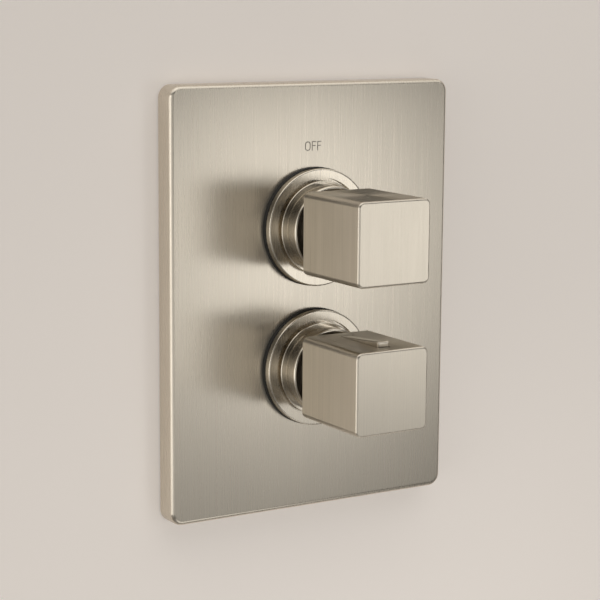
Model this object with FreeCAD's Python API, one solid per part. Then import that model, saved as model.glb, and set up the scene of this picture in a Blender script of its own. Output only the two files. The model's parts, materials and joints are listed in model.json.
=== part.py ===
import FreeCAD, Part
import math
import os

# Frame: temperature axis at the finished wall, +Z up, out of the wall along -Y, millimetres
V = FreeCAD.Vector

# Face plate
PLATE_W = 157.0
PLATE_H = 210.0
PLATE_FRONT = 12.7
PLATE_WALL = 1.6
RIM_WALL = 2.4
PLATE_CORNER = 6.2
PLATE_EDGE = 2.5
SEAL_T = 0.8
SEAL_INSET = 0.5
AXIS_SPACING = 69.2
PLATE_CENTRE_Z = 33.9

# Stem insert and grub screw
STEM_R = 4.0
INSERT_WALL = 2.0
INSERT_BACK = 22.0
INSERT_FRONT = 60.0
COLLAR_STEP = 1.3
COLLAR_T = 2.0
PILOT = 12.0
SPLINE_DEPTH = 14.0
SPLINE_TOOTH = 0.45
TEETH = 20
INNER_BOSS_WALL = 1.3
GRUB_AT = 48.0
GRUB_R = 1.95
GRUB_FLAT_CUT = 0.5
GRUB_LENGTH = 6.0
SOCKET_R = 1.15
SOCKET_DEPTH = 2.0
PAD_R = 4.0
PAD_LENGTH = 7.0
PLUG_R = 2.5
PLUG_CLEAR = 0.1
PLUG_LIP_R = 3.6
PLUG_LIP_T = 1.2

# Knob neck, bush and the fits between them
NECK_WALL = 1.6
NECK_BACK = 20.6
RUNNING = 0.05
BUSH_WALL = 1.2
BUSH_FRONT = 27.5

# Bore of the sleeve, from the wall outwards
SLEEVE_WALL = 4.3
BUSH_SEAT_WALL = 4.8
BONNET_DEPTH = 12.0
SEAT_STEP = 0.6
LIP_CLEAR = 0.5
LIP_BACK = 18.0
LIP_FRONT = 20.0
ORING_SECTION_R = 0.9
ORING_GAP = 0.05
ORING_CENTRE = 13.6

# Sleeve and flange ring, heights above the plate's face
SLEEVE_R = 21.3
SLEEVE_H = 17.6
SLEEVE_EDGE = 1.1
SHOULDER_STEP = 1.6
SHOULDER_H = 8.0
SHOULDER_EDGE = 0.5
GROOVE_W = 1.3
LEDGE_H = 4.2
FLANGE_FACE_W = 4.4
FLANGE_H = 6.0
FLANGE_EDGE = 0.7
RING_CLEAR = 0.4
HOLE_CLEAR = 0.7
RING_LIFT = 1.8
GASKET_T = 2.2
GASKET_STEP = 1.9
GASKET_W = 3.8
GASKET_CLEAR = 0.2

# Limit ring
LIMIT_T = 2.4
LIMIT_GAP = 0.2
LUG_GAP = 0.2
LUG_FROM = 104.0
LUG_TO = 132.0

# Knob cap
KNOB = 39.6
KNOB_BACK = 35.2
KNOB_FRONT = 82.4
KNOB_WALL = 2.0
KNOB_FACE = 2.5
KNOB_SIDE_R = 3.2
KNOB_FACE_R = 1.2
INNER_CORNER = 1.0

# Knob cover, screws and bosses
COVER_T = 2.2
COVER_CLEAR = 0.2
BOSS_R = 3.0
BOSS_GAP = 0.1
SCREW_R = 1.1
SCREW_CLEAR = 0.05
SCREW_END = 45.0
SCREW_SPARE = 1.0
HEAD_R = 2.3
HEAD_T = 1.2
HEAD_CLEAR = 0.2
RECESS_T = 0.7
RECESS_W = 0.6
RECESS_L = 2.8

# Override key
KEY_W = 6.2
KEY_CLEAR = 0.3
KEY_TIP = 43.0
KEY_TIP_T = 0.6
KEY_INSET = 7.9
KEY_PROUD = 2.8
KEY_DEEP = 3.4
KEY_NOSE = 0.9
KEY_ROUND = 0.7
SLOT_BACK_GAP = 0.4
SLOT_FRONT_GAP = 0.9
PIVOT_AT = 46.0
PIVOT_DROP = 2.2
PIN_R = 1.0
PIN_CLEAR = 0.06
PIN_SEAT = 0.02
HUB_HALF = 2.4
TAIL_W = 4.0
TAIL_T = 1.5
TAIL_SHARE = 0.3
TAIL_RISE = 1.4
TAIL_END = 19.0
WINDOW_CLEAR = 0.6
EAR_T = 2.0
EAR_GAP = 0.5
EAR_EDGE = 2.8

# Return spring
SPRING_INSET = 8.0
SPRING_SEAT_T = 1.4
SPRING_COIL_R = 1.9
SPRING_WIRE_R = 0.225
SPRING_TURNS = 5
SPIGOT_R = 1.3
SPIGOT_T = 1.1

# Overlap of two shapes that are fused, and reach of a cutting shape past its face
BITE = 0.5
PAST = 1.0

# Sizes that follow from those above
INSERT_R = STEM_R + INSERT_WALL
COLLAR_R = INSERT_R + COLLAR_STEP
INSERT_BORE_R = INSERT_R + RUNNING
INNER_BOSS_R = INSERT_BORE_R + INNER_BOSS_WALL
GRUB_FLAT = INSERT_R - GRUB_FLAT_CUT
GRUB_END = GRUB_FLAT + GRUB_LENGTH
PAD_END = GRUB_FLAT + PAD_LENGTH
BONNET_R = SLEEVE_R - SLEEVE_WALL
SEAT_R = BONNET_R - SEAT_STEP
BUSH_BORE_R = SLEEVE_R - BUSH_SEAT_WALL
BUSH_R = BUSH_BORE_R - RUNNING
BUSH_IN_R = BUSH_R - BUSH_WALL
NECK_R = BUSH_IN_R - RUNNING
NECK_IN_R = NECK_R - NECK_WALL
LIP_R = NECK_R + LIP_CLEAR
SHOULDER_R = SLEEVE_R + SHOULDER_STEP
GROOVE_R = SHOULDER_R + GROOVE_W
FLANGE_R = GROOVE_R + FLANGE_FACE_W
GASKET_IN_R = SLEEVE_R + GASKET_STEP
GASKET_OUT_R = GASKET_IN_R + GASKET_W
SLEEVE_FRONT = PLATE_FRONT + SLEEVE_H
HALF = KNOB / 2
INNER_HALF = HALF - KNOB_WALL
COVER_FRONT = KNOB_BACK + COVER_T
SCREW_AT = INNER_BOSS_R + BOSS_GAP + BOSS_R
TAIL_LOW = COLLAR_R + TAIL_SHARE * (NECK_IN_R - COLLAR_R)
TAIL_HIGH = TAIL_LOW + TAIL_T
PIVOT_H = INNER_HALF - PIVOT_DROP
KEY_UNDER = HALF - KEY_DEEP
KEY_END = KNOB_FRONT - KEY_INSET
SPRING_AT = KEY_END - SPRING_INSET
SPRING_SEAT = INNER_BOSS_R + SPRING_SEAT_T
CROSS_PIN_L = KEY_W + 2 * EAR_GAP + 2 * EAR_T
VOLUME_Z = AXIS_SPACING
TEMP_Z = 0.0


def corner(before, at, after, radius):
    """Two tangent points and a middle point of a rounded corner, in the plane."""
    ux, uy = before[0] - at[0], before[1] - at[1]
    wx, wy = after[0] - at[0], after[1] - at[1]
    ul, wl = math.hypot(ux, uy), math.hypot(wx, wy)
    ux, uy, wx, wy = ux / ul, uy / ul, wx / wl, wy / wl
    half = math.acos(max(-1.0, min(1.0, ux * wx + uy * wy))) / 2
    reach = radius / math.tan(half)
    bx, by = ux + wx, uy + wy
    bl = math.hypot(bx, by)
    deep = radius / math.sin(half) - radius
    start = (at[0] + ux * reach, at[1] + uy * reach)
    mid = (at[0] + bx / bl * deep, at[1] + by / bl * deep)
    end = (at[0] + wx * reach, at[1] + wy * reach)
    return start, mid, end


def loop(points, place):
    """Closed wire through plane points (a, b) or (a, b, radius), placed in space."""
    edges = []
    count = len(points)
    stops = []
    for i, p in enumerate(points):
        if len(p) == 3:
            stops.append(corner(points[i - 1], p, points[(i + 1) % count], p[2]))
        else:
            stops.append(((p[0], p[1]), None, (p[0], p[1])))
    for i, stop in enumerate(stops):
        if stop[1] is not None:
            edges.append(Part.Arc(place(*stop[0]), place(*stop[1]), place(*stop[2])).toShape())
        a, b = place(*stop[2]), place(*stops[(i + 1) % count][0])
        if a.distanceToPoint(b) > 1e-6:
            edges.append(Part.makeLine(a, b))
    return Part.Wire(edges)


def turned(points, z):
    """Solid of revolution about a knob axis from (radius, distance off the wall) points."""
    face = Part.Face(loop(points, lambda r, d: V(r, -d, z)))
    return face.revolve(V(0, 0, z), V(0, 1, 0), 360)


def tube(inner, outer, back, front, z):
    """Plain ring about a knob axis."""
    return turned([(inner, back), (outer, back), (outer, front), (inner, front)], z)


def rod(radius, back, front, x, z):
    """Round bar that stands off the wall."""
    return Part.makeCylinder(radius, front - back, V(x, -front, z), V(0, 1, 0))


def upright(radius, low, high, d):
    """Round bar along Z on the knob's centre line."""
    return Part.makeCylinder(radius, high - low, V(0, -d, low), V(0, 0, 1))


def across(radius, length):
    """Round bar along X through the key's pivot."""
    return Part.makeCylinder(radius, length, V(-length / 2, -PIVOT_AT, PIVOT_H), V(1, 0, 0))


def block(width, height, back, front, radius, z):
    """Rounded rectangle in XZ that stands off the wall."""
    w, h = width / 2, height / 2
    rim = [(-w, z - h, radius), (w, z - h, radius), (w, z + h, radius), (-w, z + h, radius)]
    face = Part.Face(loop(rim, lambda a, b: V(a, -front, b)))
    return face.extrude(V(0, front - back, 0))


def box(x0, x1, back, front, z0, z1):
    """Plain box from distances off the wall."""
    return Part.makeBox(x1 - x0, front - back, z1 - z0, V(x0, -front, z0))


def key_slab(points, width):
    """Side profile (distance off the wall, height) spread about the centre line."""
    face = Part.Face(loop(points, lambda d, h: V(-width / 2, -d, h)))
    return face.extrude(V(width, 0, 0))


def flank_edges(shape, half, above):
    """Edges on either flank that reach past a height."""
    found = []
    for edge in shape.Edges:
        bounds = edge.BoundBox
        if bounds.XLength < 1e-4 and abs(abs(bounds.XMin) - half) < 1e-4 and bounds.ZMax > above + 1e-3:
            found.append(edge)
    return found


def front_edges(shape, d):
    """Edges that lie in one plane parallel to the wall."""
    found = []
    for edge in shape.Edges:
        if abs(edge.BoundBox.YMin + d) < 1e-4 and abs(edge.BoundBox.YMax + d) < 1e-4:
            found.append(edge)
    return found


def rim_inside(back, front):
    """Space inside the plate's rim."""
    width, height = PLATE_W - 2 * RIM_WALL, PLATE_H - 2 * RIM_WALL
    return block(width, height, back, front, PLATE_CORNER - RIM_WALL, PLATE_CENTRE_Z)


def face_plate():
    """Open-backed plate with two sleeve holes."""
    shell = block(PLATE_W, PLATE_H, SEAL_T, PLATE_FRONT, PLATE_CORNER, PLATE_CENTRE_Z)
    shell = shell.makeFillet(PLATE_EDGE, front_edges(shell, PLATE_FRONT))
    shell = shell.cut(rim_inside(SEAL_T - PAST, PLATE_FRONT - PLATE_WALL))
    for z in (TEMP_Z, VOLUME_Z):
        shell = shell.cut(rod(SLEEVE_R + HOLE_CLEAR, 0, PLATE_FRONT + PAST, 0, z))
    return shell


def plate_seal():
    """Soft frame between the rim and the wall."""
    width, height = PLATE_W - 2 * SEAL_INSET, PLATE_H - 2 * SEAL_INSET
    frame = block(width, height, 0, SEAL_T, PLATE_CORNER - SEAL_INSET, PLATE_CENTRE_Z)
    return frame.cut(rim_inside(-PAST, SEAL_T + PAST))


def dress_ring(z):
    """Flat flange ring with an inner ledge and a gasket recess."""
    back = PLATE_FRONT + RING_LIFT
    recess = PLATE_FRONT + GASKET_T
    bore = SLEEVE_R + RING_CLEAR
    ledge = PLATE_FRONT + LEDGE_H
    face = PLATE_FRONT + FLANGE_H
    return turned([
        (bore, back),
        (GASKET_IN_R - GASKET_CLEAR, back),
        (GASKET_IN_R - GASKET_CLEAR, recess),
        (GASKET_OUT_R + GASKET_CLEAR, recess),
        (GASKET_OUT_R + GASKET_CLEAR, back),
        (FLANGE_R, back),
        (FLANGE_R, face, FLANGE_EDGE),
        (GROOVE_R, face),
        (GROOVE_R, ledge),
        (bore, ledge),
    ], z)


def ring_gasket(z):
    """Rubber washer under the flange ring."""
    return tube(GASKET_IN_R, GASKET_OUT_R, PLATE_FRONT, PLATE_FRONT + GASKET_T, z)


def sleeve(z):
    """Stepped neck that screws on the valve bonnet and clamps the flange ring."""
    shoulder = PLATE_FRONT + SHOULDER_H
    ledge = PLATE_FRONT + LEDGE_H
    half_groove = ORING_SECTION_R + ORING_GAP
    groove = SEAT_R + half_groove
    return turned([
        (BONNET_R, 0),
        (SLEEVE_R, 0),
        (SLEEVE_R, ledge),
        (SHOULDER_R, ledge),
        (SHOULDER_R, shoulder, SHOULDER_EDGE),
        (SLEEVE_R, shoulder),
        (SLEEVE_R, SLEEVE_FRONT, SLEEVE_EDGE),
        (BUSH_BORE_R, SLEEVE_FRONT),
        (BUSH_BORE_R, LIP_FRONT),
        (LIP_R, LIP_FRONT),
        (LIP_R, LIP_BACK),
        (SEAT_R, LIP_BACK),
        (SEAT_R, ORING_CENTRE + half_groove),
        (groove, ORING_CENTRE + half_groove),
        (groove, ORING_CENTRE - half_groove),
        (SEAT_R, ORING_CENTRE - half_groove),
        (SEAT_R, BONNET_DEPTH),
        (BONNET_R, BONNET_DEPTH),
    ], z)


def sleeve_oring(z):
    """Round seal in the sleeve's inner groove."""
    return Part.makeTorus(SEAT_R, ORING_SECTION_R, V(0, -ORING_CENTRE, z), V(0, 1, 0))


def glide_bush(z):
    """Plastic bush that carries the knob neck."""
    return tube(BUSH_IN_R, BUSH_R, LIP_FRONT, BUSH_FRONT, z)


def limit_ring(z):
    """Ring behind the sleeve's lip with the safety stop lug."""
    back = LIP_BACK - LIMIT_T
    ring = tube(NECK_IN_R, SEAT_R - LIMIT_GAP, back, LIP_BACK, z)
    lug = tube(TAIL_LOW + LUG_GAP, NECK_IN_R + BITE, back, LIP_BACK, z)
    reach = 2 * SEAT_R
    sides = [(0, z)]
    for angle in (LUG_FROM, LUG_TO):
        a = math.radians(angle)
        sides.append((reach * math.cos(a), z + reach * math.sin(a)))
    wedge = Part.Face(loop(sides, lambda x, h: V(x, -LIP_BACK - PAST, h)))
    wedge = wedge.extrude(V(0, LIMIT_T + 2 * PAST, 0))
    return ring.fuse(lug.common(wedge)).removeSplitter()


def cover_screw_places():
    """Sideways places of a knob's cover screws, inside the neck."""
    return [-SCREW_AT, SCREW_AT]


def knob_cap(z):
    """Square cap, hollow from the back, with screw bosses and the grub screw hole."""
    cap = block(KNOB, KNOB, KNOB_BACK, KNOB_FRONT, KNOB_SIDE_R, z)
    cap = cap.makeFillet(KNOB_FACE_R, front_edges(cap, KNOB_FRONT))
    inner = KNOB_FRONT - KNOB_FACE
    cap = cap.cut(block(2 * INNER_HALF, 2 * INNER_HALF, KNOB_BACK - PAST, inner, INNER_CORNER, z))
    for x in cover_screw_places():
        cap = cap.fuse(rod(BOSS_R, COVER_FRONT, inner + BITE, x, z))
        cap = cap.cut(rod(SCREW_R + SCREW_CLEAR, COVER_FRONT - PAST, SCREW_END + SCREW_SPARE, x, z))
    cap = cap.cut(upright(PLUG_R + PLUG_CLEAR, z - HALF - PAST, z - INNER_HALF + PAST, GRUB_AT))
    return cap.removeSplitter()


def temp_cap():
    """Lower cap: the plain cap with the key slot and the pivot ears."""
    cap = knob_cap(TEMP_Z)
    near = KEY_W / 2 + EAR_GAP
    for low in (-near - EAR_T, near):
        back, front = PIVOT_AT - EAR_EDGE, PIVOT_AT + EAR_EDGE
        cap = cap.fuse(box(low, low + EAR_T, back, front, PIVOT_H - EAR_EDGE, INNER_HALF + BITE))
    slot = KEY_W / 2 + KEY_CLEAR
    back, front = KEY_TIP - SLOT_BACK_GAP, KEY_END + SLOT_FRONT_GAP
    cap = cap.cut(box(-slot, slot, back, front, INNER_HALF - PAST, HALF + PAST))
    return cap.cut(across(PIN_R + PIN_SEAT, CROSS_PIN_L + 2 * PAST)).removeSplitter()


def carrier(z, with_key):
    """Back cover with the turning neck, the insert boss and the grub screw pad."""
    side = 2 * (INNER_HALF - COVER_CLEAR)
    seat_half = SPRING_COIL_R + SPRING_WIRE_R + BITE
    length = SPRING_AT + seat_half if with_key else INSERT_FRONT
    body = block(side, side, KNOB_BACK, COVER_FRONT, INNER_CORNER, z)
    body = body.fuse(tube(NECK_IN_R, NECK_R, NECK_BACK, KNOB_BACK, z))
    body = body.fuse(rod(INNER_BOSS_R, COVER_FRONT - BITE, length, 0, z))
    body = body.fuse(upright(PAD_R, z - PAD_END, z - INSERT_R, GRUB_AT))
    if with_key:
        back, front = SPRING_AT - seat_half, SPRING_AT + seat_half
        body = body.fuse(box(-seat_half, seat_half, back, front, INSERT_R, SPRING_SEAT))
        body = body.fuse(upright(SPIGOT_R, SPRING_SEAT - BITE, SPRING_SEAT + SPIGOT_T, SPRING_AT))
    body = body.cut(rod(INSERT_BORE_R, KNOB_BACK - PAST, length + PAST, 0, z))
    body = body.cut(upright(GRUB_R + SCREW_CLEAR, z - PAD_END - PAST, z - INSERT_R + PAST, GRUB_AT))
    for x in cover_screw_places():
        body = body.cut(rod(SCREW_R + HEAD_CLEAR, KNOB_BACK - PAST, COVER_FRONT + PAST, x, z))
        body = body.cut(rod(HEAD_R + HEAD_CLEAR, KNOB_BACK - PAST, KNOB_BACK + HEAD_T, x, z))
    if with_key:
        half = TAIL_W / 2 + WINDOW_CLEAR
        low, high = TAIL_LOW - WINDOW_CLEAR, TAIL_HIGH + TAIL_RISE
        body = body.cut(box(-half, half, KNOB_BACK - PAST, COVER_FRONT + PAST, low, high))
    return body.removeSplitter()


def cover_screws(z):
    """Cheese-head screws with crossed slots."""
    out = []
    back = KNOB_BACK - PAST
    for x in cover_screw_places():
        screw = rod(HEAD_R, KNOB_BACK, KNOB_BACK + HEAD_T, x, z)
        screw = screw.fuse(rod(SCREW_R, KNOB_BACK, SCREW_END, x, z))
        for long_x, long_z in ((RECESS_L, RECESS_W), (RECESS_W, RECESS_L)):
            low_x, high_x = x - long_x / 2, x + long_x / 2
            slot = box(low_x, high_x, back, KNOB_BACK + RECESS_T, z - long_z / 2, z + long_z / 2)
            screw = screw.cut(slot)
        out.append(screw.removeSplitter())
    return Part.makeCompound(out)


def stem_insert(z):
    """Brass insert: pilot bore, spline and the flat under the grub screw."""
    body = rod(INSERT_R, INSERT_BACK, INSERT_FRONT, 0, z)
    body = body.fuse(rod(COLLAR_R, KNOB_BACK - COLLAR_T, KNOB_BACK, 0, z))
    pilot_end = INSERT_BACK + PILOT
    spline_end = pilot_end + SPLINE_DEPTH
    body = body.cut(rod(STEM_R, INSERT_BACK - PAST, pilot_end, 0, z))
    star = []
    for i in range(2 * TEETH):
        r = STEM_R - SPLINE_TOOTH * (i % 2)
        a = math.pi * i / TEETH
        star.append((r * math.cos(a), z + r * math.sin(a)))
    teeth = Part.Face(loop(star, lambda x, h: V(x, -spline_end, h)))
    body = body.cut(teeth.extrude(V(0, SPLINE_DEPTH + BITE, 0)))
    low, high = z - INSERT_R - PAST, z - GRUB_FLAT
    flat = box(-INSERT_R, INSERT_R, GRUB_AT - PAD_R, GRUB_AT + PAD_R, low, high)
    return body.cut(flat).removeSplitter()


def set_screw(z):
    """Grub screw with a hexagon socket, from under the knob."""
    body = upright(GRUB_R, z - GRUB_END, z - GRUB_FLAT, GRUB_AT)
    points = []
    for i in range(6):
        a = math.pi * i / 3
        points.append((SOCKET_R * math.cos(a), SOCKET_R * math.sin(a)))
    socket = Part.Face(loop(points, lambda x, y: V(x, y - GRUB_AT, z - GRUB_END - PAST)))
    return body.cut(socket.extrude(V(0, 0, SOCKET_DEPTH + PAST)))


def screw_plug(z):
    """Plug that closes the grub screw hole."""
    lip = z - INNER_HALF
    body = upright(PLUG_R, z - HALF, lip + BITE, GRUB_AT)
    return body.fuse(upright(PLUG_LIP_R, lip, lip + PLUG_LIP_T, GRUB_AT)).removeSplitter()


def override_key():
    """Wedge key with its pivot hub and the catch tail that reaches into the sleeve."""
    back, front = PIVOT_AT - HUB_HALF, PIVOT_AT + HUB_HALF
    body = key_slab([
        (KEY_TIP, HALF),
        (KEY_END, HALF + KEY_PROUD, KEY_NOSE),
        (KEY_END, KEY_UNDER),
        (front, KEY_UNDER),
        (front, PIVOT_H - HUB_HALF),
        (back, PIVOT_H - HUB_HALF),
        (back, HALF - 2 * KEY_TIP_T),
        (KEY_TIP, HALF - KEY_TIP_T),
    ], KEY_W)
    body = body.makeFillet(KEY_ROUND, flank_edges(body, KEY_W / 2, HALF))
    tail = key_slab([
        (back, PIVOT_H),
        (PIVOT_AT, PIVOT_H),
        (PIVOT_AT, TAIL_LOW),
        (TAIL_END, TAIL_LOW),
        (TAIL_END, TAIL_HIGH),
        (back, TAIL_HIGH),
    ], TAIL_W)
    body = body.fuse(tail)
    body = body.fuse(upright(SPIGOT_R, KEY_UNDER - SPIGOT_T, KEY_UNDER + BITE, SPRING_AT))
    return body.cut(across(PIN_R + PIN_CLEAR, KEY_W + 2 * PAST)).removeSplitter()


def override_pin():
    """Pivot pin across the ears."""
    return across(PIN_R, CROSS_PIN_L)


def override_spring():
    """Coil between the carrier's seat and the key's underside."""
    height = KEY_UNDER - SPRING_SEAT - 2 * SPRING_WIRE_R
    pitch = height / SPRING_TURNS
    helix = Part.makeHelix(pitch, height, SPRING_COIL_R)
    lean = pitch / (2 * math.pi * SPRING_COIL_R)
    circle = Part.makeCircle(SPRING_WIRE_R, V(SPRING_COIL_R, 0, 0), V(0, 1, lean))
    coil = Part.Wire(helix.Edges).makePipeShell([Part.Wire([circle])], True, True)
    coil.translate(V(0, -SPRING_AT, SPRING_SEAT + SPRING_WIRE_R))
    return coil


def save(name, shape):
    """Write one node and report its volume."""
    shape.exportStep("parts/" + name + ".step")
    print(name, len(shape.Solids), round(shape.Volume, 1), shape.isValid())


def main():
    """Build every node."""
    os.makedirs("parts", exist_ok=True)
    save("face_plate", face_plate())
    save("plate_seal", plate_seal())
    for side, z in (("volume", VOLUME_Z), ("temp", TEMP_Z)):
        save(side + "_dress_ring", dress_ring(z))
        save(side + "_ring_gasket", ring_gasket(z))
        save(side + "_sleeve", sleeve(z))
        save(side + "_sleeve_oring", sleeve_oring(z))
        save(side + "_glide_bush", glide_bush(z))
        save(side + "_carrier", carrier(z, side == "temp"))
        save(side + "_cover_screws", cover_screws(z))
        save(side + "_stem_insert", stem_insert(z))
        save(side + "_set_screw", set_screw(z))
        save(side + "_screw_plug", screw_plug(z))
    save("volume_knob_shell", knob_cap(VOLUME_Z))
    save("temp_knob_shell", temp_cap())
    save("temp_limit_ring", limit_ring(TEMP_Z))
    save("override_lever", override_key())
    save("override_pin", override_pin())
    save("override_spring", override_spring())


main()
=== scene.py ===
"""Looks of a two-knob wall trim for a thermostatic shower valve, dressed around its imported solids.

Every length is in metres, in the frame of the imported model: the temperature valve's axis at the wall,
+Z up and -Y out of the wall.
"""

import json
import logging
import math
from abc import ABC, abstractmethod
from dataclasses import dataclass, field
from enum import Enum
from typing import Any, Sequence

import bmesh
import bpy
from mathutils import Matrix, Vector


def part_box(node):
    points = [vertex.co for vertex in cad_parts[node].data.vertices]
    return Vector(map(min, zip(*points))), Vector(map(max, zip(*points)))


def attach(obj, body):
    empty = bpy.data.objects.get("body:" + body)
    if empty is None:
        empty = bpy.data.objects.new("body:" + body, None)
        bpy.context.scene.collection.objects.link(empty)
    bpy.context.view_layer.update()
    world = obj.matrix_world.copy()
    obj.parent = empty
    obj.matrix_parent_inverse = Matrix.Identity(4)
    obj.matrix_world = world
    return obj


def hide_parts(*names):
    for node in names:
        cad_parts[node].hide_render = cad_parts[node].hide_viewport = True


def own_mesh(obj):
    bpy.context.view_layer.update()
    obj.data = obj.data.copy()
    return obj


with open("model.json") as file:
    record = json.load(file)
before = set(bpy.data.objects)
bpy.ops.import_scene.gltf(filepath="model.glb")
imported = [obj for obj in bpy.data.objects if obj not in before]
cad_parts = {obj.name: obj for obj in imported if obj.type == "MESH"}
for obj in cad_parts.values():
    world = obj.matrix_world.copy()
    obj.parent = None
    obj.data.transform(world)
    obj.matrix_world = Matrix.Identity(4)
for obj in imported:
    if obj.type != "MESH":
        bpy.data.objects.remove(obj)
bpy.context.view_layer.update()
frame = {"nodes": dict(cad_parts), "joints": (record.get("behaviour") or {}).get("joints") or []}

LOG = logging.getLogger("valve_trim")
MM = 0.001
HALF_TURN = 180.0
Pair = tuple[float, float]
Colour = tuple[float, float, float]


class Wire:
    """An output socket that takes part in Python arithmetic on plain values."""

    def __init__(self, graph: "Graph", socket: bpy.types.NodeSocket | None) -> None:
        """Keep a socket with the graph that owns it."""
        self.graph = graph
        self.socket = socket

    def math(self, operation: str, first: Any, second: Any = 0.0) -> "Wire":
        """Add one Math node.

        Args:
            operation: the Math node's operation.
            first: a wire or a number.
            second: a wire or a number, for operations with two inputs.

        Returns:
            The node's output.
        """
        return self.graph.add("ShaderNodeMath", {"operation": operation}, {0: first, 1: second})

    def __add__(self, other: Any) -> "Wire":
        """Sum."""
        return self.math("ADD", self, other)

    def __radd__(self, other: Any) -> "Wire":
        """Sum with a number on the left."""
        return self.math("ADD", other, self)

    def __sub__(self, other: Any) -> "Wire":
        """Difference."""
        return self.math("SUBTRACT", self, other)

    def __mul__(self, other: Any) -> "Wire":
        """Product."""
        return self.math("MULTIPLY", self, other)

    def __truediv__(self, other: Any) -> "Wire":
        """Quotient."""
        return self.math("DIVIDE", self, other)

    def __gt__(self, other: Any) -> "Wire":
        """1 where this is greater, otherwise 0."""
        return self.math("GREATER_THAN", self, other)

    def __lt__(self, other: Any) -> "Wire":
        """1 where this is less, otherwise 0."""
        return self.math("LESS_THAN", self, other)

    def __abs__(self) -> "Wire":
        """Size without the sign."""
        return self.math("ABSOLUTE", self)

    def __neg__(self) -> "Wire":
        """The same size with the other sign."""
        return self.math("MULTIPLY", self, -1.0)


class Graph:
    """A node tree that is written as expressions."""

    def __init__(self, tree: bpy.types.NodeTree) -> None:
        """Start from an empty tree."""
        self.tree = tree
        tree.nodes.clear()

    def add(
        self,
        kind: str,
        settings: dict[str, Any] | None = None,
        inputs: dict[int | str, Any] | None = None,
        output: int | str = 0,
    ) -> Wire:
        """Add one node.

        Args:
            kind: the node's type.
            settings: the node's own settings; "stops" holds a ramp's (place, colour) pairs.
            inputs: values or wires by socket name or number.
            output: name or number of the output to return.

        Returns:
            The chosen output, or an empty wire for a node with none.
        """
        node = self.tree.nodes.new(kind)
        for name, value in (settings or {}).items():
            if name == "stops":
                self._set_stops(node.color_ramp, value)
            else:
                setattr(node, name, value)
        for key, value in (inputs or {}).items():
            if isinstance(value, Wire):
                self.tree.links.new(value.socket, node.inputs[key])
            else:
                node.inputs[key].default_value = value
        return Wire(self, node.outputs[output] if len(node.outputs) else None)

    @staticmethod
    def _set_stops(ramp: bpy.types.ColorRamp, stops: Sequence[tuple[float, Sequence[float]]]) -> None:
        """Give a ramp its stops.

        Args:
            ramp: the node's ramp, with its two first stops.
            stops: place and RGBA of each stop, from low to high.
        """
        while len(ramp.elements) < len(stops):
            ramp.elements.new(0.5)
        for element, (place, colour) in zip(ramp.elements, stops):
            element.position = place
            element.color = colour

    def vector(self, operation: str, first: Any, second: Any = None, output: int | str = 0) -> Wire:
        """Vector Math of one or two vectors.

        Args:
            operation: the node's operation.
            first: a wire or three numbers.
            second: a wire, three numbers or nothing.
            output: name or number of the output to return.

        Returns:
            The chosen output.
        """
        inputs = {0: first} if second is None else {0: first, 1: second}
        return self.add("ShaderNodeVectorMath", {"operation": operation}, inputs, output)

    def scaled(self, vector: Any, factor: Any) -> Wire:
        """A vector times one value."""
        return self.add("ShaderNodeVectorMath", {"operation": "SCALE"}, {0: vector, "Scale": factor})

    def split(self, vector: Wire) -> tuple[Wire, Wire, Wire]:
        """The three components of a vector."""
        names = ("X", "Y", "Z")
        node = self.add("ShaderNodeSeparateXYZ", None, {0: vector}).socket.node
        return tuple(Wire(self, node.outputs[name]) for name in names)

    def joined(self, x: Any, y: Any, z: Any) -> Wire:
        """A vector from three values."""
        return self.add("ShaderNodeCombineXYZ", None, {0: x, 1: y, 2: z})

    def choose_vector(self, factor: Any, low: Any, high: Any) -> Wire:
        """A vector between two, by a factor from 0 to 1."""
        return self.add("ShaderNodeMix", {"data_type": "VECTOR"}, {0: factor, 4: low, 5: high}, 1)

    def choose_colour(self, factor: Any, low: Any, high: Any) -> Wire:
        """A colour between two, by a factor from 0 to 1."""
        return self.add("ShaderNodeMix", {"data_type": "RGBA"}, {0: factor, 6: low, 7: high}, 2)

    def place(self) -> Wire:
        """The surface point in the piece's own space."""
        return self.add("ShaderNodeTexCoord", None, None, "Object")

    def noise(self, where: Wire, scale: float = 1.0, detail: float = 2.0, roughness: float = 0.5) -> Wire:
        """Soft noise from 0 to 1.

        Args:
            where: the point that the noise is read at.
            scale: how many features fit in one unit.
            detail: how many finer layers are added.
            roughness: how strong the finer layers are.

        Returns:
            The noise value.
        """
        inputs = {"Vector": where, "Scale": scale, "Detail": detail, "Roughness": roughness}
        return self.add("ShaderNodeTexNoise", None, inputs, 0)

    def ramp(self, factor: Wire, stops: Sequence[tuple[float, Sequence[float]]]) -> Wire:
        """A colour read from a ramp of (place, RGBA) stops."""
        return self.add("ShaderNodeValToRGB", {"stops": stops}, {0: factor})

    def tones(self, factor: Wire, colour: Colour, shades: Pair, span: Pair) -> Wire:
        """A colour's dark to light tone, over a span of the factor."""
        return self.ramp(factor, list(zip(span, shaded(colour, shades))))

    def bump(self, height: Wire, depth: float, strength: float) -> Wire:
        """A normal raised by a height from 0 to 1."""
        return self.add("ShaderNodeBump", None, {"Strength": strength, "Distance": depth, "Height": height})

    def turned_normal(self, normal: Wire, start: str, end: str) -> Wire:
        """A normal carried from one space to another, WORLD or OBJECT."""
        settings = {"vector_type": "NORMAL", "convert_from": start, "convert_to": end}
        return self.add("ShaderNodeVectorTransform", settings, {0: normal})


def rgba(colour: Colour, shade: float = 1.0) -> tuple[float, float, float, float]:
    """A linear colour, times a shade, with full alpha."""
    return (colour[0] * shade, colour[1] * shade, colour[2] * shade, 1.0)


def shaded(colour: Colour, shades: Pair) -> tuple[Sequence[float], Sequence[float]]:
    """A colour's dark and light tone."""
    return rgba(colour, shades[0]), rgba(colour, shades[1])


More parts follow.
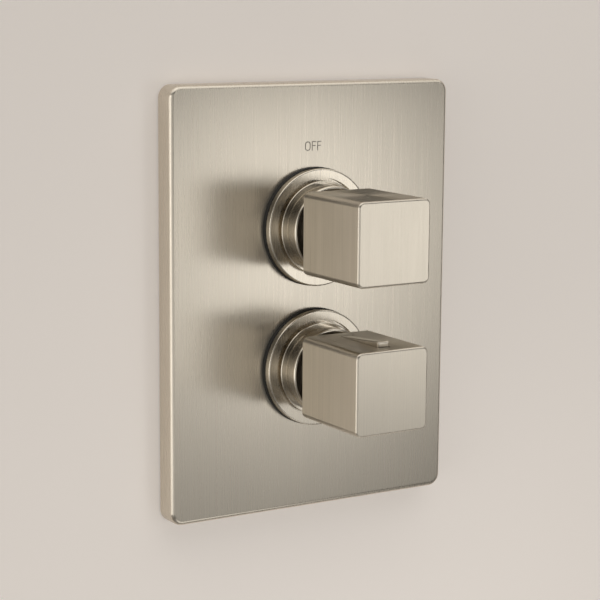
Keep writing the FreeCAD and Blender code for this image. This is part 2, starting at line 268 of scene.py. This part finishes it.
class Finish(ABC):
    """A surface finish that makes its material once."""

    name: str

    def material(self) -> bpy.types.Material:
        """The finish's material, made on first use.

        Returns:
            The material with its nodes.
        """
        found = bpy.data.materials.get(self.name)
        if found is not None:
            return found
        made = bpy.data.materials.new(self.name)
        made.use_nodes = True
        graph = Graph(made.node_tree)
        graph.add("ShaderNodeOutputMaterial", None, {"Surface": self.shade(graph)})
        return made

    @abstractmethod
    def shade(self, graph: Graph) -> Wire:
        """Build the shader and return its output."""

    def dress(self, piece: bpy.types.Object) -> None:
        """Give the finish to a piece."""
        if not piece.data.materials:
            piece.data.materials.append(self.material())
        for slot in piece.material_slots:
            slot.material = self.material()


class Brushing(Enum):
    """How the strokes of a brushed finish run."""

    UPRIGHT = "up the plate, and outwards on level faces"
    ROUND = "round a valve's axis"


@dataclass(frozen=True)
class BrushedNickel(Finish):
    """Warm nickel plating over fine brush strokes.

    Tilt is how far the strokes lean the normal. A crown bows the face by two radii about crown_z. Crisp is
    the lean up to which a rounded edge is shaded flat, and crisp_below the same for edges that look down.
    """

    name: str
    brushing: Brushing
    axis_z: float = 0.0
    colour: Colour = (0.70, 0.638, 0.54)
    roughness: float = 0.283
    anisotropy: float = 0.78
    tilt: float = 0.065
    contrast: float = 0.075
    fine: float = 0.24 * MM
    fine_length: float = 42 * MM
    band: float = 0.85 * MM
    band_length: float = 115 * MM
    band_tilt: float = 0.5
    rough_spread: float = 0.16
    streak_share: float = 1.3
    cloud_share: float = 0.35
    cloud_scale: float = 28.0
    light_share: float = 0.43
    span: Pair = (0.25, 0.75)
    level_from: float = 0.7
    slant: float = 0.93
    fine_turn: float = 1.6
    band_turn: float = 1.0
    crown: Pair | None = None
    crown_z: float = 0.0
    crisp: float = 0.0
    crisp_below: float = 0.0

    def shade(self, graph: Graph) -> Wire:
        """Streaked metal whose normal leans across the strokes.

        Args:
            graph: the material's graph.

        Returns:
            The shader's output.
        """
        face = graph.add("ShaderNodeNewGeometry", None, None, "Normal")
        normal = graph.turned_normal(face, "WORLD", "OBJECT")
        if self.crisp:
            normal = self._squared(graph, normal)
        if self.brushing is Brushing.UPRIGHT:
            strokes, bands, lean = self._upright(graph, normal)
        else:
            strokes, bands, lean = self._round(graph, normal)
        streak = (strokes + bands) * 0.5
        slope = (strokes - 0.5) * self.tilt + (bands - 0.5) * (self.tilt * self.band_tilt)
        bent = graph.vector("ADD", normal, graph.scaled(lean, slope))
        if self.crown is not None:
            across, upward = self.crown
            arm = graph.vector("SUBTRACT", graph.place(), (0.0, 0.0, self.crown_z))
            bow = graph.vector("MULTIPLY", arm, (1 / across, 0.0, 1 / upward))
            bent = graph.vector("ADD", bent, bow)
        bent = graph.turned_normal(graph.vector("NORMALIZE", bent), "OBJECT", "WORLD")
        cloud = graph.noise(graph.place(), self.cloud_scale, detail=3.0)
        shift = (streak - 0.5) * self.streak_share + (cloud - 0.5) * self.cloud_share + 0.5
        shades = (1 - self.contrast, 1 + self.light_share * self.contrast)
        return graph.add("ShaderNodeBsdfPrincipled", None, {
            "Base Color": graph.tones(shift, self.colour, shades, self.span),
            "Metallic": 1.0,
            "Roughness": self.roughness + (streak - 0.5) * self.rough_spread,
            "Anisotropic": self.anisotropy if self.brushing is Brushing.UPRIGHT else 0.0,
            "Normal": bent,
        })

    def _squared(self, graph: Graph, normal: Wire) -> Wire:
        """A normal that stays flat up to a rounded edge's first degrees.

        Args:
            graph: the material's graph.
            normal: the face's normal in the piece's space.

        Returns:
            The normal without its small components.
        """
        x, y, z = graph.split(normal)
        x, y = (part * (abs(part) > self.crisp) for part in (x, y))
        z = z * ((z > self.crisp) + (z < -self.crisp_below))
        return graph.vector("NORMALIZE", graph.joined(x, y, z))

    def _upright(self, graph: Graph, normal: Wire) -> tuple[Wire, Wire, Wire]:
        """Strokes along Z, and along Y on faces that look up or down.

        Args:
            graph: the material's graph.
            normal: the face's normal in the piece's space.

        Returns:
            Fine strokes, broader bands and the direction across the strokes.
        """
        level = abs(graph.split(normal)[2]) > self.level_from
        where = graph.place()
        layers = []
        for width, length in ((self.fine, self.fine_length), (self.band, self.band_length)):
            across, along = 1 / width, 1 / length
            standing = graph.vector("MULTIPLY", where, (across, across, along))
            lying = graph.vector("MULTIPLY", where, (across, along, across))
            layers.append(graph.noise(graph.choose_vector(level, standing, lying), roughness=0.6))
        stroke = graph.choose_vector(level, (0.0, 0.0, 1.0), (0.0, 1.0, 0.0))
        lean = graph.vector("NORMALIZE", graph.vector("CROSS_PRODUCT", stroke, normal))
        return layers[0], layers[1], lean

    def _round(self, graph: Graph, normal: Wire) -> tuple[Wire, Wire, Wire]:
        """Strokes round the valve's axis, read along the turned profile.

        Args:
            graph: the material's graph.
            normal: the face's normal in the piece's space.

        Returns:
            Fine strokes, broader bands and the direction across the strokes.
        """
        arm = graph.vector("SUBTRACT", graph.place(), (0.0, 0.0, self.axis_z))
        x, y, z = graph.split(arm)
        radius = graph.vector("LENGTH", graph.joined(x, 0.0, z), None, "Value")
        profile = radius + y * self.slant
        layers = []
        for width, turn in ((self.fine, self.fine_turn), (self.band, self.band_turn)):
            where = graph.joined(profile / width, x / radius * turn, z / radius * turn)
            layers.append(graph.noise(where, roughness=0.6))
        stroke = graph.vector("NORMALIZE", graph.vector("CROSS_PRODUCT", arm, (0.0, 1.0, 0.0)))
        lean = graph.vector("NORMALIZE", graph.vector("CROSS_PRODUCT", stroke, normal))
        return layers[0], layers[1], lean


@dataclass(frozen=True)
class MouldedPlastic(Finish):
    """Moulded plastic with a fine grain and faint flow marks."""

    name: str
    colour: Colour
    roughness: float = 0.45
    grain: float = 0.35 * MM
    depth: float = 0.03 * MM
    strength: float = 0.4
    flow_scale: tuple[float, float, float] = (180.0, 45.0, 180.0)
    flow_share: float = 0.7
    grain_share: float = 0.3
    shades: Pair = (0.84, 1.12)
    span: Pair = (0.2, 0.8)
    rough_spread: float = 0.2

    def shade(self, graph: Graph) -> Wire:
        """Mottled plastic with a grained surface.

        Args:
            graph: the material's graph.

        Returns:
            The shader's output.
        """
        where = graph.place()
        grain = graph.noise(where, 1 / self.grain, detail=3.0, roughness=0.6)
        flow = graph.noise(graph.vector("MULTIPLY", where, self.flow_scale), detail=4.0, roughness=0.55)
        mottle = flow * self.flow_share + grain * self.grain_share
        return graph.add("ShaderNodeBsdfPrincipled", None, {
            "Base Color": graph.tones(mottle, self.colour, self.shades, self.span),
            "Roughness": self.roughness + (flow - 0.5) * self.rough_spread,
            "Normal": graph.bump(grain, self.depth, self.strength),
        })


@dataclass(frozen=True)
class CellFoam(Finish):
    """Closed-cell foam with small open cells on the cut faces."""

    name: str
    colour: Colour
    cell: float = 0.5 * MM
    depth: float = 0.1 * MM
    strength: float = 0.6
    cell_share: float = 0.8
    cloud_share: float = 0.3
    cloud_scale: float = 90.0
    shades: Pair = (0.45, 1.25)
    span: Pair = (0.1, 0.7)
    roughness: float = 0.82
    rough_spread: float = 0.2

    def shade(self, graph: Graph) -> Wire:
        """Pitted dark foam.

        Args:
            graph: the material's graph.

        Returns:
            The shader's output.
        """
        where = graph.place()
        cells = graph.add("ShaderNodeTexVoronoi", None, {"Vector": where, "Scale": 1 / self.cell}, "Distance")
        cloud = graph.noise(where, self.cloud_scale, detail=3.0)
        mottle = cells * self.cell_share + cloud * self.cloud_share
        return graph.add("ShaderNodeBsdfPrincipled", None, {
            "Base Color": graph.tones(mottle, self.colour, self.shades, self.span),
            "Roughness": self.roughness + (cloud - 0.5) * self.rough_spread,
            "Normal": graph.bump(cells, self.depth, self.strength),
        })


@dataclass(frozen=True)
class MachinedMetal(Finish):
    """Turned metal with tool rings along Y and a thin film of tarnish."""

    name: str
    colour: Colour
    tarnish: Colour
    roughness: float = 0.3
    ring: float = 0.16 * MM
    ring_scale: float = 60.0
    depth: float = 0.02 * MM
    strength: float = 0.5
    patch_scale: float = 160.0
    dull_from: float = 0.5
    dull_full: float = 0.78
    shades: Pair = (0.88, 1.06)
    patch_spread: float = 0.25
    ring_spread: float = 0.1

    def shade(self, graph: Graph) -> Wire:
        """Ringed metal, dulled in patches.

        Args:
            graph: the material's graph.

        Returns:
            The shader's output.
        """
        where = graph.place()
        stretch = (self.ring_scale, 1 / self.ring, self.ring_scale)
        rings = graph.noise(graph.vector("MULTIPLY", where, stretch))
        patch = graph.noise(where, self.patch_scale, detail=4.0, roughness=0.6)
        fresh = graph.choose_colour(rings, *shaded(self.colour, self.shades))
        dulled = graph.ramp(patch, [(self.dull_from, (0, 0, 0, 1)), (self.dull_full, (1, 1, 1, 1))])
        wear = (patch - 0.5) * self.patch_spread
        return graph.add("ShaderNodeBsdfPrincipled", None, {
            "Base Color": graph.choose_colour(dulled, fresh, rgba(self.tarnish)),
            "Metallic": 1.0,
            "Roughness": self.roughness + wear + (rings - 0.5) * self.ring_spread,
            "Normal": graph.bump(rings, self.depth, self.strength),
        })


@dataclass(frozen=True)
class PrintedInk(Finish):
    """Etched and filled lettering."""

    name: str
    colour: Colour = (0.21, 0.19, 0.165)
    shades: Pair = (0.8, 1.3)
    wear_scale: float = 2600.0
    roughness: float = 0.45
    rough_spread: float = 0.2

    def shade(self, graph: Graph) -> Wire:
        """Dull ink, a little worn.

        Args:
            graph: the material's graph.

        Returns:
            The shader's output.
        """
        worn = graph.noise(graph.place(), self.wear_scale, detail=3.0, roughness=0.6)
        return graph.add("ShaderNodeBsdfPrincipled", None, {
            "Base Color": graph.choose_colour(worn, *shaded(self.colour, self.shades)),
            "Roughness": self.roughness + worn * self.rough_spread,
        })


@dataclass(frozen=True)
class WallPaint(Finish):
    """Plain pale wall that is clear from behind, so the trim's back can be seen."""

    name: str
    colour: Colour
    glow: float = 0.0
    shades: Pair = (0.985, 1.015)
    cloud_scale: float = 3.0
    roughness: float = 0.6

    def shade(self, graph: Graph) -> Wire:
        """Matt paint on the front, nothing on the back.

        Args:
            graph: the material's graph.

        Returns:
            The shader's output.
        """
        behind = graph.add("ShaderNodeNewGeometry", None, None, "Backfacing")
        cloud = graph.noise(graph.place(), self.cloud_scale, detail=3.0)
        base = graph.choose_colour(cloud, *shaded(self.colour, self.shades))
        paint = graph.add("ShaderNodeBsdfPrincipled", None, {
            "Base Color": base,
            "Roughness": self.roughness,
            "Emission Color": base,
            "Emission Strength": self.glow,
        })
        clear = graph.add("ShaderNodeBsdfTransparent")
        return graph.add("ShaderNodeMixShader", None, {0: behind, 1: paint, 2: clear})


def dress_node(name: str, finish: Finish) -> None:
    """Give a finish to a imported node.

    Args:
        name: the node's name.
        finish: its finish.
    """
    finish.dress(frame["nodes"][name])
    LOG.info("node %s: %s", name, finish.name)


def bridge(
    mesh: bmesh.types.BMesh, rings: list[list[bmesh.types.BMVert]], closed: bool, smooth: bool = False
) -> None:
    """Join rings of points by faces.

    Args:
        mesh: the mesh that holds the points.
        rings: equal rings, in their order along the form.
        closed: whether the last ring joins the first; otherwise both ends are capped.
        smooth: whether the joining faces are shaded smooth.
    """
    for here, there in zip(rings, rings[1:] + rings[:1] if closed else rings[1:]):
        for k in range(len(here)):
            after = (k + 1) % len(here)
            mesh.faces.new((here[k], here[after], there[after], there[k])).smooth = smooth
    if not closed:
        for end in (rings[0], rings[-1]):
            mesh.faces.new(end)


def new_piece(name: str, mesh: bmesh.types.BMesh, finish: Finish, body: str) -> bpy.types.Object:
    """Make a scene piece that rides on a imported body.

    Args:
        name: the piece's name.
        mesh: its mesh, in the model's frame, which is freed.
        finish: its finish.
        body: the body that carries it.

    Returns:
        The new object.
    """
    bmesh.ops.recalc_face_normals(mesh, faces=mesh.faces)
    data = bpy.data.meshes.new(name)
    mesh.to_mesh(data)
    mesh.free()
    piece = bpy.data.objects.new(name, data)
    bpy.context.scene.collection.objects.link(piece)
    finish.dress(piece)
    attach(piece, body)
    LOG.info("piece %s on %s: %d faces", name, body, len(data.polygons))
    return piece


PLATE_NICKEL = BrushedNickel(
    "plate_brushed_nickel", Brushing.UPRIGHT, crown=(2.2, 8.0), crown_z=-0.1, crisp=0.24, crisp_below=0.03)
KNOB_NICKEL = BrushedNickel(
    "knob_brushed_nickel", Brushing.UPRIGHT, roughness=0.305, tilt=0.10, contrast=0.12,
    crisp=0.18, crisp_below=0.18)
KEY_NICKEL = BrushedNickel(
    "key_brushed_nickel", Brushing.UPRIGHT, roughness=0.30, tilt=0.10, contrast=0.12)
RING_NICKEL = BrushedNickel(
    "ring_brushed_nickel", Brushing.UPRIGHT, roughness=0.262, anisotropy=0.6, tilt=0.03, contrast=0.06)
FOAM = CellFoam("seal_cell_foam", (0.09, 0.09, 0.09))
RUBBER = MouldedPlastic("seal_soft_rubber", (0.016, 0.0155, 0.015), 0.6, 0.25 * MM)
ACETAL = MouldedPlastic("bush_natural_acetal", (0.74, 0.72, 0.66), 0.38)
NYLON = MouldedPlastic("carrier_filled_nylon", (0.10, 0.093, 0.086), 0.42)
RED_ACETAL = MouldedPlastic("limit_red_acetal", (0.52, 0.05, 0.035), 0.4)
PLUG_PLASTIC = MouldedPlastic("plug_nickel_plastic", (0.46, 0.42, 0.36), 0.3)
BRASS = MachinedMetal("insert_turned_brass", (0.80, 0.60, 0.28), (0.42, 0.30, 0.15))
STEEL = MachinedMetal("screw_stainless_steel", (0.60, 0.59, 0.58), (0.38, 0.37, 0.36))
WIRE = MachinedMetal("spring_drawn_wire", (0.52, 0.52, 0.53), (0.30, 0.29, 0.30), 0.25, 0.08 * MM)
INK = PrintedInk("letter_dark_fill")


@dataclass
class Lettering:
    """The word OFF above the volume knob, as thin filled strokes."""

    centre_x: float = -0.8 * MM
    low_z: float = 106.05 * MM
    height: float = 4.55 * MM
    letter_width: float = 2.35 * MM
    round_width: float = 3.1 * MM
    gap: float = 0.75 * MM
    stroke: float = 0.42 * MM
    proud: float = 0.03 * MM
    sunk: float = 0.10 * MM
    arm_height: float = 0.53
    arm_cut: float = 0.12
    arc_steps: int = 12

    def build(self) -> None:
        """Make the three letters on the plate's face."""
        face_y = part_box("face_plate")[0].y
        width = self.round_width + 2 * (self.gap + self.letter_width)
        left = self.centre_x - width / 2
        mesh = bmesh.new()
        self._stroke(mesh, self._ring(left), True, face_y)
        left += self.round_width + self.gap
        for _ in range(2):
            for line in self._arms(left):
                self._stroke(mesh, line, False, face_y)
            left += self.letter_width + self.gap
        new_piece("off_lettering", mesh, INK, "wall_trim")

    def _ring(self, left: float) -> list[Pair]:
        """Centre line of the O, two half circles joined by straight sides.

        Args:
            left: the letter's left side.

        Returns:
            Points in X and Z, closed.
        """
        radius = (self.round_width - self.stroke) / 2
        low = self.low_z + self.stroke / 2 + radius
        high = self.low_z + self.height - self.stroke / 2 - radius
        middle = left + self.round_width / 2
        points = []
        for centre, start in ((high, 0.0), (low, math.pi)):
            for step in range(self.arc_steps + 1):
                angle = start + math.pi * step / self.arc_steps
                points.append((middle + radius * math.cos(angle), centre + radius * math.sin(angle)))
        return points

    def _arms(self, left: float) -> list[list[Pair]]:
        """Centre lines of one F: the stem, the top arm and the middle arm.

        Args:
            left: the letter's left side.

        Returns:
            Three lines of two points each.
        """
        half = self.stroke / 2
        stem = left + half
        top, bottom = self.low_z + self.height, self.low_z
        middle = self.low_z + self.height * self.arm_height
        right = left + self.letter_width
        return [
            [(stem, bottom), (stem, top)],
            [(stem + half, top - half), (right, top - half)],
            [(stem + half, middle), (right - self.letter_width * self.arm_cut, middle)],
        ]

    def _stroke(self, mesh: bmesh.types.BMesh, line: list[Pair], closed: bool, face_y: float) -> None:
        """Add one bar of ink along a line.

        Args:
            mesh: the mesh that takes it.
            line: the stroke's centre line in X and Z.
            closed: whether the line returns to its start.
            face_y: the plate's face.
        """
        half = self.stroke / 2
        low, high = face_y + self.sunk, face_y - self.proud
        section = ((1, low), (1, high), (-1, high), (-1, low))
        rings = []
        count = len(line)
        for i, (x, z) in enumerate(line):
            before = line[i - 1] if closed or i else line[i]
            after = line[(i + 1) % count] if closed or i + 1 < count else line[i]
            run = Vector((after[0] - before[0], after[1] - before[1])).normalized()
            side = Vector((-run.y, run.x)) * half
            rings.append([mesh.verts.new((x + k * side.x, y, z + k * side.y)) for k, y in section])
        bridge(mesh, rings, closed)


@dataclass
class FacePlate:
    """The plate, its foam frame and its lettering."""

    lettering: Lettering = field(default_factory=Lettering)

    def build(self) -> None:
        """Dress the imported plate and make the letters."""
        dress_node("face_plate", PLATE_NICKEL)
        dress_node("plate_seal", FOAM)
        self.lettering.build()


@dataclass
class ValveCollar:
    """The fixed pieces round one valve: sleeve, flange ring, seals and bush."""

    side: str
    washer: float = 3.8 * MM
    # The lip is painted shade: black rubber that hugs the ring's foot in place of the shadow gap under the
    # ring.
    shade_lip: float = 0.3 * MM
    shade_lip_rise: float = 0.55 * MM
    shade_lip_soft: float = 0.1 * MM
    clear: float = 0.05 * MM
    turn_steps: int = 128

    def build(self) -> None:
        """Dress the collar's nodes and lay its gasket."""
        low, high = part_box(self.side + "_sleeve")
        axis_z = (low.z + high.z) / 2
        name = self.side + "_turned_nickel"
        turned = BrushedNickel(name, Brushing.ROUND, axis_z, roughness=0.19, tilt=0.02, contrast=0.06)
        dress_node(self.side + "_dress_ring", RING_NICKEL)
        dress_node(self.side + "_sleeve", turned)
        dress_node(self.side + "_sleeve_oring", RUBBER)
        dress_node(self.side + "_glide_bush", ACETAL)
        self._gasket(axis_z)

    def _gasket(self, axis_z: float) -> None:
        """Make the ring's rubber washer, with a black lip round the ring's foot that is painted shade,
        standing in for the shadow gap under the ring.

        Args:
            axis_z: height of the valve's axis.
        """
        washer_low, washer_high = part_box(self.side + "_ring_gasket")
        ring_low, ring_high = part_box(self.side + "_dress_ring")
        out = (washer_high.x - washer_low.x) / 2
        edge = (ring_high.x - ring_low.x) / 2 + self.clear
        face, front, foot = washer_high.y, washer_low.y, ring_high.y
        rim, top, soft = edge + self.shade_lip, foot - self.shade_lip_rise, self.shade_lip_soft
        profile = [
            (out - self.washer, face), (rim, face), (rim, top + soft), (rim - soft, top), (edge + soft, top),
            (edge, top + soft), (edge, foot + self.clear), (out, foot + self.clear), (out, front),
            (out - self.washer, front),
        ]
        mesh = bmesh.new()
        rings = []
        for step in range(self.turn_steps):
            angle = math.tau * step / self.turn_steps
            x, z = math.cos(angle), math.sin(angle)
            rings.append([mesh.verts.new((r * x, y, axis_z + r * z)) for r, y in profile])
        bridge(mesh, rings, closed=True)
        # The washer with its black lip, whose lip is painted shade for the shadow gap at the ring's foot.
        piece = new_piece(self.side + "_lip_gasket", mesh, RUBBER, "wall_trim")
        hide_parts(self.side + "_ring_gasket")


@dataclass
class Knob:
    """One square turning knob with what it hides."""

    side: str

    def build(self) -> None:
        """Dress the knob's nodes."""
        finishes = {
            "knob_shell": KNOB_NICKEL, "carrier": NYLON, "cover_screws": STEEL,
            "stem_insert": BRASS, "set_screw": STEEL, "screw_plug": PLUG_PLASTIC,
        }
        for node, finish in finishes.items():
            dress_node(f"{self.side}_{node}", finish)


@dataclass
class OverrideKey:
    """The safety key on the temperature knob, its pin, spring and limit ring."""

    joint: str = "override_press"
    wire: float = 0.225 * MM
    turns: int = 5
    turn_steps: int = 32
    wire_steps: int = 10

    def build(self) -> None:
        """Dress the key's nodes and wind its spring."""
        dress_node("override_lever", KEY_NICKEL)
        dress_node("override_pin", STEEL)
        dress_node("temp_limit_ring", RED_ACETAL)
        self._spring()

    def _spring(self) -> None:
        """Make the spring as a coil at its full length, in place of the imported one."""
        low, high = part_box("override_spring")
        seat = Vector(((low.x + high.x) / 2, (low.y + high.y) / 2, low.z))
        radius = (high.x - low.x) / 2 - self.wire
        coil = self._coil(seat, radius, high.z - low.z)
        piece = new_piece("override_coil", coil, WIRE, "temp_knob")
        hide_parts("override_spring")
        hinge = next(joint for joint in frame["joints"] if joint["name"] == self.joint)
        reach = abs(seat.y - hinge["pos_m"][1]) + radius + self.wire
        travel = reach * math.sin(math.radians(max(hinge["range_deg"])))
        1 - travel / (high.z - low.z)
        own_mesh(piece)

    def _coil(self, seat: Vector, radius: float, height: float) -> bmesh.types.BMesh:
        """Round wire swept up a helix.

        Args:
            seat: the middle of the coil's lower end.
            radius: the helix's radius.
            height: the coil's whole height.

        Returns:
            The closed mesh.
        """
        mesh = bmesh.new()
        count = self.turns * self.turn_steps
        climb = (height - 2 * self.wire) / count
        turns = [math.tau * k / self.wire_steps for k in range(self.wire_steps)]
        rings = []
        for step in range(count + 1):
            angle = math.tau * step / self.turn_steps
            out = Vector((math.cos(angle), math.sin(angle), 0.0))
            run = Vector((-out.y, out.x, climb * self.turn_steps / (math.tau * radius))).normalized()
            lift = out.cross(run)
            middle = seat + out * radius + Vector((0.0, 0.0, self.wire + climb * step))
            section = [middle + self.wire * (math.cos(a) * out + math.sin(a) * lift) for a in turns]
            rings.append([mesh.verts.new(point) for point in section])
        bridge(mesh, rings, closed=False, smooth=True)
        return mesh


@dataclass(frozen=True)
class Softbox:
    """A square studio lamp that fades smoothly from its middle, with a firmer edge above by firm_above."""

    name: str
    place: tuple[float, float, float]
    target: tuple[float, float, float]
    size: float
    fade_across: float
    fade_upward: float
    radiance: float
    colour: Colour = (1.0, 0.993, 0.976)
    firm_above: float | None = None

    def build(self) -> None:
        """Hang the lamp, aim it and shade its face."""
        data = bpy.data.lights.new(self.name, "AREA")
        data.shape = "SQUARE"
        data.size = self.size
        data.energy = self.radiance * math.pi * self.size ** 2
        data.use_nodes = True
        graph = Graph(data.node_tree)
        across, upward, _ = graph.split(graph.add("ShaderNodeNewGeometry", None, None, "Parametric"))
        across = (across - 0.5) * (self.size / self.fade_across)
        rise = (upward - 0.5) * (self.size / self.fade_upward)
        fall = rise * rise
        if self.firm_above is not None:
            steep = (upward - 0.5) * (self.size / self.firm_above)
            steep = steep * steep
            fall = fall + (upward > 0.5) * (steep * steep - fall)
        level = across.math("EXPONENT", -(across * across + fall))
        light = graph.add("ShaderNodeEmission", None, {"Color": graph.scaled(self.colour, level)})
        graph.add("ShaderNodeOutputLight", None, {"Surface": light})
        lamp = bpy.data.objects.new(self.name, data)
        lamp.location = self.place
        aim = Vector(self.target) - Vector(self.place)
        lamp.rotation_mode = "QUATERNION"
        lamp.rotation_quaternion = aim.to_track_quat("-Z", "Y")
        bpy.context.scene.collection.objects.link(lamp)


@dataclass(frozen=True)
class Glow:
    """A soft patch of light in the room, named by its direction from the trim.

    Bearing is in degrees to the right of straight out of the wall, rise in degrees above level.
    """

    bearing: float
    rise: float
    width: float
    height: float
    radiance: float

    def seen(self, bearing: Wire, rise: Wire) -> Wire:
        """The patch's light in each direction.

        Args:
            bearing: the direction's bearing in degrees.
            rise: the direction's rise in degrees.

        Returns:
            Radiance that falls off smoothly round the patch.
        """
        across = (bearing - self.bearing) / self.width
        upward = (rise - self.rise) / self.height
        return across.math("EXPONENT", -(across * across + upward * upward)) * self.radiance


@dataclass
class Room:
    """The light of the studio room, as soft patches over a floor-to-ceiling ramp."""

    tint: Colour = (1.0, 0.985, 0.955)
    levels: tuple[Pair, ...] = (
        (-90.0, 0.04), (-25.0, 0.07), (-12.0, 0.17), (8.0, 0.08),
        (32.0, 0.08), (44.0, 0.9), (60.0, 1.3), (90.0, 1.3),
    )
    glows: tuple[Glow, ...] = (
        Glow(-23.0, -6.0, 14.0, 9.0, 0.66),
        Glow(-84.0, -2.0, 26.0, 24.0, 2.1),
        Glow(36.0, 32.0, 22.0, 7.0, 0.8),
        Glow(4.0, -13.0, 16.0, 7.0, 0.50),
        Glow(-22.0, 21.0, 22.0, 10.0, -0.14),
    )

    def build(self) -> None:
        """Make the room the scene's world."""
        world = bpy.data.worlds.new("studio_room")
        world.use_nodes = True
        graph = Graph(world.node_tree)
        x, y, z = graph.split(graph.add("ShaderNodeTexCoord", None, None, "Generated"))
        degree = math.degrees(1.0)
        bearing = x.math("ARCTAN2", x, -y) * degree
        rise = z.math("ARCSINE", z) * degree
        stops = [(place / HALF_TURN + 0.5, rgba((level, level, level))) for place, level in self.levels]
        light = graph.ramp(rise / HALF_TURN + 0.5, stops)
        for glow in self.glows:
            light = light + glow.seen(bearing, rise)
        light = light.math("MAXIMUM", light, 0.0)
        sky = graph.add("ShaderNodeBackground", None, {"Color": graph.scaled(self.tint, light)})
        graph.add("ShaderNodeOutputWorld", None, {"Surface": sky})
        bpy.context.scene.world = world


@dataclass
class PhotoCamera:
    """A camera at the photograph's viewing angle."""

    place: tuple[float, float, float] = (-475.61 * MM, -775.36 * MM, 184.75 * MM)
    yaw: float = math.radians(31.53)
    pitch: float = math.radians(9.60)
    roll: float = math.radians(-0.41)
    sensor: float = 36.0
    lens: float = 111.67
    clip_start: float = 0.05
    clip_end: float = 50.0

    def build(self) -> None:
        """Place the camera and make it the scene's own."""
        ahead = Vector((
            math.sin(self.yaw) * math.cos(self.pitch),
            math.cos(self.yaw) * math.cos(self.pitch),
            -math.sin(self.pitch),
        ))
        level = Vector((math.cos(self.yaw), -math.sin(self.yaw), 0.0))
        down = ahead.cross(level)
        right = math.cos(self.roll) * level + math.sin(self.roll) * down
        up = math.sin(self.roll) * level - math.cos(self.roll) * down
        data = bpy.data.cameras.new("photo_camera")
        data.sensor_width = self.sensor
        data.lens = self.lens
        data.clip_start = self.clip_start
        data.clip_end = self.clip_end
        camera = bpy.data.objects.new("photo_camera", data)
        turn = Matrix((right, up, -ahead)).transposed().to_4x4()
        camera.matrix_world = Matrix.Translation(self.place) @ turn
        bpy.context.scene.collection.objects.link(camera)
        bpy.context.scene.camera = camera


@dataclass
class Studio:
    """Pale wall and floor, the room's light and the camera."""

    wall_gap: float = 0.2 * MM
    half_width: float = 2.5
    height: float = 2.5
    floor_z: float = -1.0
    floor_depth: float = 1.5
    wall: WallPaint = WallPaint("pale_wall", (0.822, 0.757, 0.698), 0.31)
    floor: WallPaint = WallPaint("pale_floor", (0.10, 0.092, 0.085))
    lamps: tuple[Softbox, ...] = (
        Softbox(
            "key_softbox", (0.415, -0.755, -0.008), (0.0, 0.0, 0.02),
            size=1.0, fade_across=0.122, fade_upward=0.22, radiance=2.52, firm_above=0.175),
        Softbox(
            "side_softbox", (-0.45, -0.29, -0.19), (-0.07, 0.0, -0.05),
            size=0.9, fade_across=0.17, fade_upward=0.15, radiance=0.4),
        Softbox(
            "low_softbox", (0.04, -0.23, -0.32), (-0.03, 0.0, -0.07),
            size=0.8, fade_across=0.15, fade_upward=0.11, radiance=1.2),
    )
    room: Room = field(default_factory=Room)
    camera: PhotoCamera = field(default_factory=PhotoCamera)

    def build(self) -> None:
        """Set the stage, the room's light and the camera."""
        half, gap, low = self.half_width, self.wall_gap, self.floor_z
        near = gap - self.floor_depth
        upright = [(-half, gap, low), (half, gap, low), (half, gap, self.height), (-half, gap, self.height)]
        level = [(-half, near, low), (half, near, low), (half, gap, low), (-half, gap, low)]
        self._sheet("wall", upright, self.wall)
        self._sheet("floor", level, self.floor)
        for lamp in self.lamps:
            lamp.build()
        self.room.build()
        self.camera.build()
        bpy.context.scene.view_settings.view_transform = "Standard"

    @staticmethod
    def _sheet(name: str, corners: list[tuple[float, float, float]], finish: Finish) -> None:
        """One flat stage sheet.

        Args:
            name: the sheet's name.
            corners: its four corners, anticlockwise from its shown side.
            finish: its finish.
        """
        data = bpy.data.meshes.new(name)
        data.from_pydata(corners, [], [(0, 1, 2, 3)])
        sheet = bpy.data.objects.new(name, data)
        bpy.context.scene.collection.objects.link(sheet)
        finish.dress(sheet)


def main() -> None:
    """Build every sub-assembly, then the studio."""
    logging.basicConfig(level=logging.INFO, format="%(name)s: %(message)s")
    FacePlate().build()
    for side in ("volume", "temp"):
        ValveCollar(side).build()
        Knob(side).build()
    OverrideKey().build()
    Studio().build()


if __name__ == "__main__":
    main()
